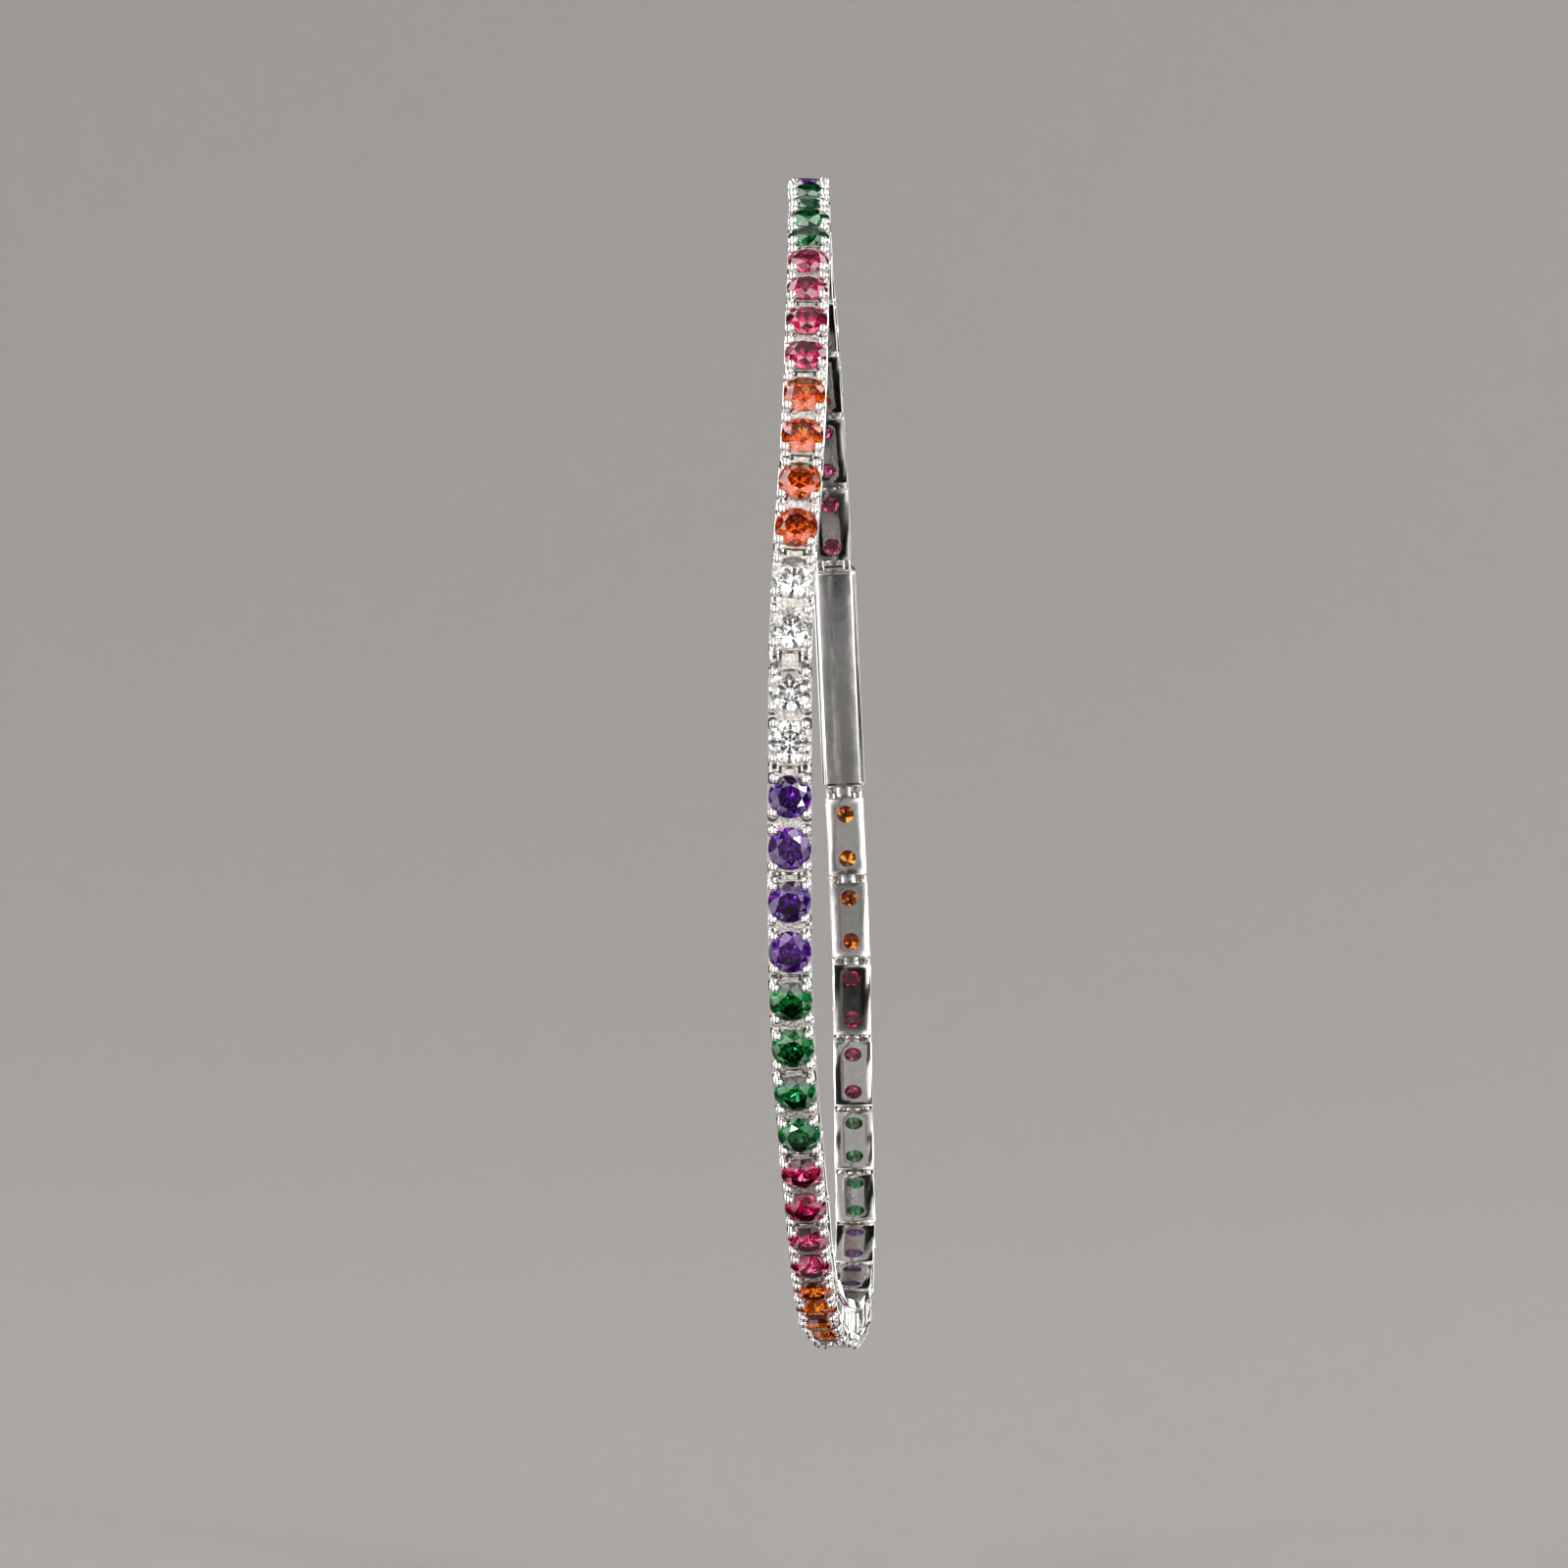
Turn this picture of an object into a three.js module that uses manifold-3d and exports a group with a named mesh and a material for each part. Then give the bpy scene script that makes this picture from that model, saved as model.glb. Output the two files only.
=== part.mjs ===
// Tennis bracelet: a closed loop of rigid two-stone links in white metal, each hinged to the next by
// a tongue with an eye that turns on a cross pin between two ears, closed by a plain clasp bar.
// Millimetres, +Z up. X runs along the wrist. The origin is the highest point of the hollow, where the
// bracelet sits on the wrist, and the loop hangs below it in the YZ plane. Turns are counted in
// degrees from the top of the loop, down the front at -Y and up again behind.

import * as THREE from 'three';
import { mergeVertices } from 'three/addons/utils/BufferGeometryUtils.js';
import Module from 'manifold-3d';

const wasm = await Module();
wasm.setup();

// Chain
const link_count = 34;
const clasp_length = 13.0;            // from pin to pin
const clasp_turn = 280;               // where the middle of the clasp lies
const long_tongue_link = 16;          // this link hangs from a longer tongue, so its joint stands open
const long_tongue_extra = 0.42;

// Stones
const stone_diameter = 2.0;
const table_diameter = 1.14;
const crown_height = 0.30;
const stone_spacing = 0.42;           // between the two girdles of one link
const links_per_colour = 2;
const stone_colours = [
  { name: 'pink', color: 0xb01552 },
  { name: 'orange', color: 0xc23a0a },
  { name: 'clear', color: 0xf2f2f4 },
  { name: 'violet', color: 0x4a1a8c },
  { name: 'green', color: 0x0a7a3c },
];
const girdle_sides = 16;
const table_sides = 8;

// Link body, seen in its own frame: X across, Y along the chain, Z outwards, pin axis at Z = 0
const girdle_height = 0.95;           // from the pin axis to the girdle
const link_depth = 2.0;               // from the girdle to the underside
const side_margin = 0.01;             // how far the girdle stands in from the side of the rail
const end_margin = 0.10;              // metal past the girdle at each end
const upper_rail = 0.40;
const lower_rail = 0.46;
const groove_depth = 0.18;

// Prongs
const prong_width = 0.42;
const prong_rise = 0.30;              // above the girdle
const prong_inset = 0.23;             // from the side of the link to the prong's middle
const prong_reach = 0.87;             // from the middle of a stone to its prongs, along the chain
const prong_sides = 4;

// Hinge
const end_gap = 0.16;                 // between two links laid out straight
const pin_diameter = 0.40;
const pin_clearance = 0.10;
const eye_wall = 0.15;
const tongue_width = 0.76;
const ear_width = 0.42;
const hinge_side_clearance = 0.13;
const hinge_end_clearance = 0.12;
const heel_gap = 0.29;                // from the pin back to the end of the lower rail
const ear_step = 0.15;                // how far the ears stand out below the girdle, past their own end
const ear_sink = 0.10;
const tongue_step = 0.20;
const tongue_sink = 0.03;
const pin_sides = 6;
const eye_steps = 3;
const eye_hole_sides = 6;

// Clasp
const clasp_width = 2.3;
const clasp_rise = 0.80;              // from the line of the pins to its outer face
const clasp_steps = 6;

// The way the loop wanders along the wrist: turn in degrees, side as a share of side_drift
const side_drift = 2.5;
const side_route = [
  { turn: 0, side: 0.0 },
  { turn: 32, side: -0.02 },
  { turn: 55, side: -0.11 },
  { turn: 65, side: -0.22 },
  { turn: 76, side: -0.38 },
  { turn: 95, side: -0.39 },
  { turn: 108, side: -0.40 },
  { turn: 122, side: -0.30 },
  { turn: 135, side: -0.10 },
  { turn: 146, side: 0.02 },
  { turn: 158, side: 0.14 },
  { turn: 170, side: 0.42 },
  { turn: 185, side: 0.80 },
  { turn: 205, side: 1.0 },
  { turn: 250, side: 0.95 },
  { turn: 300, side: 0.50 },
  { turn: 335, side: 0.10 },
  { turn: 360, side: 0.0 },
];

// Worked out from the sizes above
const stone_pitch = stone_diameter + stone_spacing;
const half_deck = (stone_pitch + stone_diameter) / 2 + end_margin;
const half_pitch = half_deck + end_gap / 2;
const link_pitch = 2 * half_pitch;
const half_width = stone_diameter / 2 + side_margin;
const half_heel = half_pitch - heel_gap;
const underside = girdle_height - link_depth;
const hole_radius = pin_diameter / 2 + pin_clearance;
const hinge_radius = hole_radius + eye_wall;
const half_body = half_pitch - hinge_radius - hinge_end_clearance;
const ear_inner = tongue_width / 2 + hinge_side_clearance;
const ear_outer = ear_inner + ear_width;
const DEG = Math.PI / 180;

const silver = 0xe8e6e1;
const silver_roughness = 0.18;
const silver_metalness = 0.9;

// Solids: a closed three.js geometry becomes a solid that can be joined and cut, and turns back

function solid(geometry) {
  const bare = geometry.clone();
  bare.deleteAttribute('normal');
  bare.deleteAttribute('uv');
  const merged = mergeVertices(bare, 1e-5);
  return new wasm.Manifold(new wasm.Mesh({
    numProp: 3,
    vertProperties: new Float32Array(merged.attributes.position.array),
    triVerts: new Uint32Array(merged.index.array),
  }));
}

// Facets that come from the solids listed in gems take the gem's colour, all others the metal's
function geometryOf(body, gems, gemColor) {
  const mesh = body.getMesh();
  const indexed = new THREE.BufferGeometry();
  indexed.setAttribute('position', new THREE.BufferAttribute(new Float32Array(mesh.vertProperties), 3));
  indexed.setIndex(new THREE.BufferAttribute(new Uint32Array(mesh.triVerts), 1));
  const geometry = indexed.toNonIndexed();
  const colors = new Float32Array(geometry.attributes.position.array.length);
  for (let run = 0; run < mesh.runOriginalID.length; run += 1) {
    const color = new THREE.Color(gems.includes(mesh.runOriginalID[run]) ? gemColor : silver);
    for (let i = mesh.runIndex[run]; i < mesh.runIndex[run + 1]; i += 1) color.toArray(colors, 3 * i);
  }
  geometry.setAttribute('color', new THREE.BufferAttribute(colors, 3));
  geometry.computeVertexNormals();
  return geometry;
}

function joined(bodies) {
  return bodies.reduce((whole, next) => whole.add(next));
}

// An outline of [along, out] points, extruded across the link between two X positions
function sideSlab(outline, x0, x1, hole = null) {
  const shape = new THREE.Shape(outline.map(([y, z]) => new THREE.Vector2(y, z)));
  if (hole) shape.holes.push(new THREE.Path(hole.map(([y, z]) => new THREE.Vector2(y, z))));
  const geometry = new THREE.ExtrudeGeometry(shape, { depth: x1 - x0, bevelEnabled: false });
  const axes = new THREE.Matrix4().makeBasis(
    new THREE.Vector3(0, 1, 0), new THREE.Vector3(0, 0, 1), new THREE.Vector3(1, 0, 0));
  geometry.applyMatrix4(axes);
  geometry.translate(x0, 0, 0);
  return solid(geometry);
}

// An outline of [across, out] points, extruded along the link between two Y positions
function lengthBar(outline, y0, y1) {
  const shape = new THREE.Shape(outline.map(([x, z]) => new THREE.Vector2(x, z)));
  const geometry = new THREE.ExtrudeGeometry(shape, { depth: y1 - y0, bevelEnabled: false });
  geometry.rotateX(Math.PI / 2);
  geometry.translate(0, y1, 0);
  return solid(geometry);
}

// A ring of [along, out] points round a pin at Y = y, in step from a first angle
function ring(sides, radius, y, first = 0) {
  return Array.from({ length: sides }, (_, i) => {
    const angle = first + (i / sides) * 2 * Math.PI;
    return [y + radius * Math.cos(angle), radius * Math.sin(angle)];
  });
}

// Body of a link: a full-length deck that carries the girdles, a lower rail that lies on the wrist, and
// a narrower core between them, so that each side shows two rails with a groove

function linkBody() {
  const deck_top = girdle_height;
  const deck_bottom = girdle_height - upper_rail;
  const rail_top = underside + lower_rail;
  const waist = half_width - groove_depth;
  const deck = lengthBar([
    [-half_width, deck_bottom], [half_width, deck_bottom],
    [half_width, deck_top], [-half_width, deck_top],
  ], -half_deck, half_deck);
  const core = lengthBar([
    [-waist, underside + lower_rail / 2], [waist, underside + lower_rail / 2],
    [waist, deck_bottom + upper_rail / 2], [-waist, deck_bottom + upper_rail / 2],
  ], -half_body, half_body);
  const rail = lengthBar([
    [-half_width, underside], [half_width, underside],
    [half_width, rail_top], [-half_width, rail_top],
  ], -half_heel, half_heel);
  return joined([deck, core, rail]);
}

// Hinge halves. Both are made for a pin at y = pin_y, out past the end of the piece that carries
// them, and the ears are then turned to the other end. In side view a half runs from its root, round
// the pin, and leans out again to a step just under the girdle line, which all but closes the joint.

function roundThePin(pin_y) {
  return Array.from({ length: eye_steps + 1 }, (_, i) => {
    const angle = (i / eye_steps - 0.5) * Math.PI;
    return [pin_y + hinge_radius * Math.cos(angle), hinge_radius * Math.sin(angle)];
  });
}

function steppedTab(pin_y, step, sink) {
  const root = half_body - eye_wall;
  const step_y = pin_y - end_gap / 2 + step;
  const top = girdle_height - sink;
  return [[root, -hinge_radius], ...roundThePin(pin_y), [step_y, top], [root, top]];
}

function plainTab(pin_y, root) {
  return [[root, -hinge_radius], ...roundThePin(pin_y), [root, hinge_radius]];
}

function tongue(outline, pin_y) {
  const half_side = Math.PI / eye_hole_sides;
  const hole = ring(eye_hole_sides, hole_radius / Math.cos(half_side), pin_y, half_side);
  return sideSlab(outline, -tongue_width / 2, tongue_width / 2, hole);
}

function earsAndPin(outline, pin_y) {
  const turned = outline.map(([y, z]) => [-y, z]).reverse();
  const pin_end = ear_outer - ear_width / 2;
  return joined([
    sideSlab(turned, -ear_outer, -ear_inner),
    sideSlab(turned, ear_inner, ear_outer),
    sideSlab(ring(pin_sides, pin_diameter / 2, -pin_y), -pin_end, pin_end),
  ]);
}

// A round brilliant from the girdle up: eight-sided table, sixteen-sided girdle. The part below the
// deck is a plain plug, hidden in its seat.
function stone(y) {
  const girdle_radius = stone_diameter / 2;
  const plug_depth = upper_rail / 2;
  const positions = [];
  const corner = (radius, sides, i, offset, z) => {
    const angle = ((i + offset) / sides) * 2 * Math.PI;
    return [radius * Math.cos(angle), y + radius * Math.sin(angle), z];
  };
  const step = girdle_sides / table_sides;
  const girdle_z = girdle_height;
  const table_z = girdle_height + crown_height;
  const girdle = Array.from({ length: girdle_sides },
    (_, i) => corner(girdle_radius, girdle_sides, i, 0.5, girdle_z));
  const foot = Array.from({ length: girdle_sides },
    (_, i) => corner(girdle_radius - plug_depth, girdle_sides, i, 0.5, girdle_z - plug_depth));
  const table = Array.from({ length: table_sides },
    (_, i) => corner(table_diameter / 2, table_sides, i, 0.5, table_z));
  const face = (a, b, c) => positions.push(...a, ...b, ...c);
  const middle_low = [0, y, girdle_z - plug_depth];
  for (let i = 0; i < girdle_sides; i += 1) {
    const j = (i + 1) % girdle_sides;
    face(foot[i], foot[j], girdle[j]);
    face(foot[i], girdle[j], girdle[i]);
    face(middle_low, foot[j], foot[i]);
  }
  for (let k = 0; k < table_sides; k += 1) {
    const next = (k + 1) % table_sides;
    const a = k * step;
    const b = (a + 1) % girdle_sides;
    const c = (a + step) % girdle_sides;
    face(girdle[a], girdle[b], table[k]);
    face(girdle[b], table[next], table[k]);
    face(girdle[b], girdle[c], table[next]);
    if (k > 0 && next > 0) face(table[0], table[k], table[next]);
  }
  const geometry = new THREE.BufferGeometry();
  geometry.setAttribute('position', new THREE.Float32BufferAttribute(positions, 3));
  return solid(geometry);
}

// A prong: a short square post with a low point, over the girdle's edge
function prong(x, y) {
  const foot = girdle_height - upper_rail / 2;
  const shoulder = girdle_height + prong_rise / 2;
  const radius = prong_width / 2;
  const profile = [
    new THREE.Vector2(0, foot), new THREE.Vector2(radius, foot),
    new THREE.Vector2(radius, shoulder), new THREE.Vector2(0, girdle_height + prong_rise),
  ];
  const geometry = new THREE.LatheGeometry(profile, prong_sides);
  geometry.rotateX(Math.PI / 2);
  geometry.translate(x, y, 0);
  return solid(geometry);
}

// A whole link. tongue_extra lengthens its tongue.
function link(tongue_extra, gemColor) {
  const tongue_pin = half_pitch + tongue_extra;
  const middles = [-stone_pitch / 2, stone_pitch / 2];
  const stones = middles.map((middle) => stone(middle));
  const parts = [
    linkBody(),
    tongue(steppedTab(tongue_pin, tongue_step, tongue_sink), tongue_pin),
    earsAndPin(steppedTab(half_pitch, ear_step, ear_sink), half_pitch),
    ...stones,
  ];
  const prong_x = half_width - prong_inset;
  for (const middle of middles) {
    for (const y of [middle - prong_reach, middle + prong_reach]) {
      parts.push(prong(-prong_x, y), prong(prong_x, y));
    }
  }
  return geometryOf(joined(parts), stones.map((gem) => gem.originalID()), gemColor);
}

// The clasp: one plain bar that follows the loop, flat underneath, with the same hinge halves
function clasp(radius) {
  const pin_y = clasp_length / 2;
  const end = pin_y - hinge_radius - hinge_end_clearance;
  const outer = radius + clasp_rise;
  const centre_z = -Math.sqrt(radius * radius - pin_y * pin_y);
  const top = Array.from({ length: clasp_steps + 1 }, (_, i) => {
    const y = end - (2 * end * i) / clasp_steps;
    return [y, centre_z + Math.sqrt(outer * outer - y * y)];
  });
  const bar = sideSlab([[-end, underside], [end, underside], ...top],
    -clasp_width / 2, clasp_width / 2);
  const root = end - eye_wall;
  return geometryOf(joined([
    bar,
    tongue(plainTab(pin_y, root), pin_y),
    earsAndPin(plainTab(pin_y, root), pin_y),
  ]), [], silver);
}

// The way of the chain: each piece reaches from pin to pin, and the loop is as wide as the pieces
// make it

function sideAt(turn) {
  const t = ((turn % 360) + 360) % 360;
  const after = side_route.findIndex((row) => row.turn > t);
  const a = side_route[after - 1];
  const b = side_route[after];
  return side_drift * THREE.MathUtils.mapLinear(t, a.turn, b.turn, a.side, b.side);
}

// The turn at which a piece of a given length ends, when it starts at another
function endTurn(turn, length, radius) {
  let end = turn;
  for (let i = 0; i < 8; i += 1) {
    const side_step = sideAt(end) - sideAt(turn);
    const chord = Math.sqrt(length * length - side_step * side_step);
    end = turn + (2 * Math.asin(chord / (2 * radius))) / DEG;
  }
  return end;
}

function pieceLength(number) {
  return number === long_tongue_link ? link_pitch + long_tongue_extra : link_pitch;
}

function pinTurns(radius) {
  const turns = [clasp_turn - 360 + Math.asin(clasp_length / 2 / radius) / DEG];
  for (let number = 1; number <= link_count; number += 1) {
    turns.push(endTurn(turns[number - 1], pieceLength(number), radius));
  }
  return turns;
}

function closingRadius() {
  let small = (link_count * link_pitch + clasp_length) / (2 * Math.PI) / 1.2;
  let large = small * 1.5;
  for (let i = 0; i < 50; i += 1) {
    const middle = (small + large) / 2;
    const turns = pinTurns(middle);
    const closed = endTurn(turns[link_count], clasp_length, middle);
    if (closed - turns[0] > 360) small = middle;
    else large = middle;
  }
  return (small + large) / 2;
}

const pin_circle_radius = closingRadius();
const hollow_radius = Math.sqrt(pin_circle_radius ** 2 - half_pitch ** 2) + underside;

function pinPlace(turn) {
  const angle = turn * DEG;
  return new THREE.Vector3(
    sideAt(turn),
    -pin_circle_radius * Math.sin(angle),
    pin_circle_radius * Math.cos(angle) - hollow_radius,
  );
}

// Sets a piece between two pins: its ears' pin at the later turn, its tongue's pin at the earlier
function setBetween(mesh, tongue_turn, ears_turn, ears_pin_y) {
  const ears_pin = pinPlace(ears_turn);
  const along = pinPlace(tongue_turn).sub(ears_pin).normalize();
  const across = new THREE.Vector3(1, 0, 0).addScaledVector(along, -along.x).normalize();
  const outward = new THREE.Vector3().crossVectors(across, along);
  mesh.quaternion.setFromRotationMatrix(new THREE.Matrix4().makeBasis(across, along, outward));
  mesh.position.copy(ears_pin).addScaledVector(along, ears_pin_y);
}

function namedMesh(name, geometry) {
  const material = new THREE.MeshStandardMaterial({
    vertexColors: true, roughness: silver_roughness, metalness: silver_metalness, flatShading: true,
  });
  const mesh = new THREE.Mesh(geometry, material);
  mesh.name = name;
  return mesh;
}

const bracelet = new THREE.Group();
bracelet.name = 'tennis_bracelet';
const turns = pinTurns(pin_circle_radius);

for (let number = 1; number <= link_count; number += 1) {
  const colour = stone_colours[Math.floor((number - 1) / links_per_colour) % stone_colours.length];
  const tongue_extra = pieceLength(number) - link_pitch;
  const name = `link_${String(number).padStart(2, '0')}_${colour.name}`;
  const mesh = namedMesh(name, link(tongue_extra, colour.color));
  setBetween(mesh, turns[number - 1], turns[number], half_pitch);
  bracelet.add(mesh);
}

const clasp_mesh = namedMesh('clasp', clasp(pin_circle_radius));
setBetween(clasp_mesh, turns[link_count], turns[0] + 360, clasp_length / 2);
bracelet.add(clasp_mesh);

export default bracelet;
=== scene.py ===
# %% [markdown]
# # A tennis bracelet, link by link
#
# This lesson dresses a plain model of a tennis bracelet until it looks like jewellery. The plain
# model knows where every link is. Here each link gets a cast setting with rounded edges, eight
# prongs with domed heads, and two stones cut with all their facets, so that light can bounce
# inside them as it does in a real one.
#
# We start by loading the plain model. Its 34 links and its clasp are nodes, each with its place
# in its mesh, in metres. We note its box now and print its sides.

# %% Load the plain model
import math
import bmesh
import bpy
import numpy as np
from mathutils import Matrix, Vector


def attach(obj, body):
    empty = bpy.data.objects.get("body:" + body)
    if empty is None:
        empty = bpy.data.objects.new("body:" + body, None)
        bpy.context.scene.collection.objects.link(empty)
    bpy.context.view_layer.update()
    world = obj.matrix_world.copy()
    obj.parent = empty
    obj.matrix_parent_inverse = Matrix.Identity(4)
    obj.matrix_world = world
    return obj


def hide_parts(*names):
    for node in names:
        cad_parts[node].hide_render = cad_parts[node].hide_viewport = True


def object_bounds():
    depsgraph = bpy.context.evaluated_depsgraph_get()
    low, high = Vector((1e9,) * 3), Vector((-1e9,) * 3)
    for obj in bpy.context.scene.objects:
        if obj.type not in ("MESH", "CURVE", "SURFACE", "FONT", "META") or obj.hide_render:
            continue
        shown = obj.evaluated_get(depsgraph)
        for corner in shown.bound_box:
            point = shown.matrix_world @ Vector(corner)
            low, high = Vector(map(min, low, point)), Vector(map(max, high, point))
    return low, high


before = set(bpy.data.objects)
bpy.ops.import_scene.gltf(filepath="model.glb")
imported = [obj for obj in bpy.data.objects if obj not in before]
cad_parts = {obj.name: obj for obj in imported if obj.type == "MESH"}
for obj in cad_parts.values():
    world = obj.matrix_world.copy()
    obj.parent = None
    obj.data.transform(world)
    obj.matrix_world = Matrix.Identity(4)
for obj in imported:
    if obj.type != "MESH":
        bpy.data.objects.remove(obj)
plain_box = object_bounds()
MM = 0.001
link_names = sorted(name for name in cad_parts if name.startswith("link_"))
plain_sides = [round(1000 * side, 2) for side in plain_box[1] - plain_box[0]]
print(len(link_names), "links, box", plain_sides, "mm")

# %% [markdown]
# ## The camera
#
# The bracelet is seen level from the front, from about 36 cm, which is near enough for the top
# and bottom links to turn away and show their prongs as two rows of beads. A long lens does the
# rest. The lens is worked out from the picture: a picture 1600 pixels wide, in which one
# millimetre at one metre would be 7.4 pixels.

# %% Set the camera
picture_pixels = 1600
focal_pixels = 7386
lens = bpy.data.cameras.new("camera")
lens.sensor_width = 36
lens.lens = lens.sensor_width * focal_pixels / picture_pixels
lens.clip_start, lens.clip_end = 0.05, 12
camera = bpy.data.objects.new("camera", lens)
camera.location = Vector((-1.24, -363, -27.91)) * MM
camera.rotation_euler = (math.radians(90), 0, 0)
bpy.context.scene.collection.objects.link(camera)
bpy.context.scene.camera = camera
print("lens", round(lens.lens, 1), "mm")

# %% [markdown]
# ## Wiring nodes in Python
#
# Materials and geometry trees are both made of nodes. A few lines of Python make them pleasant
# to write: `Wire` wraps an output, so that `0.2 + 0.5 * grain` adds the Math nodes by itself, and
# `Graph.node` adds any other node, first its settings and then the values or links of its inputs.

# %% Wire
class Wire:
    """A node's output that can be added, multiplied and so on. Each sign adds one Math node."""

    def __init__(self, graph, socket):
        self.graph, self.socket = graph, socket

    def math(self, operation, *values):
        return self.graph.node("ShaderNodeMath", {"operation": operation}, dict(enumerate(values)))

    def __add__(self, other):
        return self.math("ADD", self, other)

    def __sub__(self, other):
        return self.math("SUBTRACT", self, other)

    def __rsub__(self, other):
        return self.math("SUBTRACT", other, self)

    def __mul__(self, other):
        return self.math("MULTIPLY", self, other)

    def __pow__(self, other):
        return self.math("POWER", self, other)

    def __rpow__(self, other):
        return self.math("POWER", other, self)

    __radd__, __rmul__ = __add__, __mul__

    def out(self, name):
        """Another output of the same node."""
        return Wire(self.graph, self.socket.node.outputs[name])


print("signs become Math nodes")


# %% Graph
class Graph:
    """A node tree being wired."""

    def __init__(self, tree):
        self.tree = tree

    def node(self, kind, settings=None, inputs=None):
        new = self.tree.nodes.new(kind)
        for name, value in (settings or {}).items():
            if name == "stops":
                self.set_stops(new.color_ramp, value)
            else:
                setattr(new, name, value)
        for key, value in (inputs or {}).items():
            self.feed(self.input_of(new, key), value)
        outputs = [socket for socket in new.outputs if socket.enabled]
        return Wire(self, outputs[0]) if outputs else new

    @staticmethod
    def input_of(node, key):
        """The input with that number, or the one in use with that name."""
        if isinstance(key, int):
            return node.inputs[key]
        return next(socket for socket in node.inputs if socket.name == key and socket.enabled)

    def feed(self, socket, value):
        if isinstance(value, Wire):
            self.tree.links.new(value.socket, socket)
        else:
            socket.default_value = value

    @staticmethod
    def set_stops(ramp, stops):
        while len(ramp.elements) < len(stops):
            ramp.elements.new(1.0)
        for element, (place, colour) in zip(ramp.elements, stops):
            element.position, element.color = place, (*colour, 1)


print("one method makes every node")


# %% Start and finish a material
def new_material(name):
    """An empty material, its graph and the place of its points on the piece, in metres."""
    material = bpy.data.materials.new(name)
    material.use_nodes = True
    material.node_tree.nodes.clear()
    graph = Graph(material.node_tree)
    place = graph.node("ShaderNodeTexCoord").out("Object")
    return material, graph, place


def finish_material(graph, surface, volume=None):
    inputs = {"Surface": surface} if volume is None else {"Surface": surface, "Volume": volume}
    graph.node("ShaderNodeOutputMaterial", {}, inputs)


# Few values of a noise lie outside these two, so a ramp between them uses its whole range.
noise_low, noise_high = 0.38, 0.62
print("ramps run from", noise_low, "to", noise_high)

# %% [markdown]
# ## Two finishes of silver
#
# The prongs, rails and pins are polished: they mirror the studio, with only the faint waves that
# tumbling leaves on a casting. The bars between the stones are too small for the polishing wheel,
# so they stay frosty from the mould. Both are the same metal, but the frosty skin is rougher and
# bumpier. Noise makes the bumps, because cast skin has no direction. The same noise also paints
# shade into the colour of the pits and paints light onto the tops of the bumps. This is strong on
# the frosty skin, which the painted shade makes darker, and faint on the polished one. The heights
# of the bumps are in millimetres, so they can be judged against the size of a prong.

# %% Silver, polished and frosted
patch_mm = 1.3                  # the size of the patches in which a polish varies


def make_silver(name, painted_pit_shade, light, roughness, unevenness, grain_mm, bump_mm, wave_mm):
    material, graph, place = new_material(name)
    grain = graph.node("ShaderNodeTexNoise", {}, {
        "Vector": place, "Scale": 1 / (grain_mm * MM), "Detail": 3.0, "Roughness": 0.6})
    patch = graph.node("ShaderNodeTexNoise", {}, {
        "Vector": place, "Scale": 1 / (patch_mm * MM), "Detail": 1.0})
    # The grain also sets the colour: painted shade in the pits, where the bumps are low, and
    # painted light on the tops of the bumps.
    colour = graph.node("ShaderNodeValToRGB", {
        "stops": [(noise_low, painted_pit_shade), (noise_high, light)]}, {"Fac": grain})
    bumps = graph.node("ShaderNodeBump", {}, {
        "Strength": 1.0, "Distance": MM, "Height": bump_mm * grain + wave_mm * patch})
    surface = graph.node("ShaderNodeBsdfPrincipled", {}, {
        "Base Color": colour, "Metallic": 1.0,
        "Roughness": roughness + unevenness * (patch - 0.5) + 0.4 * unevenness * (grain - 0.5),
        "Normal": bumps})
    finish_material(graph, surface)
    return material


# In both, the dark stop is painted shade in the pits and the light stop is painted light on the
# bump tops. The gap is wide on frosted silver and small on polished silver.
polished_silver = make_silver(
    "polished silver", painted_pit_shade=(0.82, 0.805, 0.785), light=(0.87, 0.855, 0.835),
    roughness=0.10, unevenness=0.06, grain_mm=0.30, bump_mm=0.002, wave_mm=0.014)
frosted_silver = make_silver(
    "frosted silver", painted_pit_shade=(0.48, 0.45, 0.42), light=(0.86, 0.815, 0.775),
    roughness=0.37, unevenness=0.30, grain_mm=0.15, bump_mm=0.130, wave_mm=0.03)
print("made", polished_silver.name, "and", frosted_silver.name)

# %% [markdown]
# ## Stones in five colours
#
# Cubic zirconia bends light more than glass, with an index of 2.15, and that keeps light bouncing
# inside the cut. The colour sits in the body of the stone: light that takes a long way through it
# comes back deep, and a short flash comes back pale. Volume Absorption does just that. The
# surface tint only leans a little from stone to stone, as a mixed parcel of stones does.

# %% Stone materials
stone_index = 2.15
lean_mm = 2.6                   # a little more than a stone, so that neighbours can differ
# the tint of the surface in two stones of a parcel, what the body lets through, and how strongly
# it takes the rest, per metre
parcels = {
    "green": ((0.40, 0.95, 0.66), (0.14, 0.74, 0.42), (0.01, 0.58, 0.31), 1500),
    "pink": ((1.00, 0.62, 0.80), (0.92, 0.28, 0.58), (0.80, 0.02, 0.39), 1400),
    "orange": ((1.00, 0.82, 0.32), (0.96, 0.64, 0.12), (0.91, 0.52, 0.01), 1700),
    "clear": ((1.00, 1.00, 1.00), (0.97, 0.98, 1.00), (0.99, 0.99, 1.00), 20),
    "violet": ((0.92, 0.78, 1.00), (0.68, 0.46, 0.94), (0.52, 0.10, 0.70), 1700),
}


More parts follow.
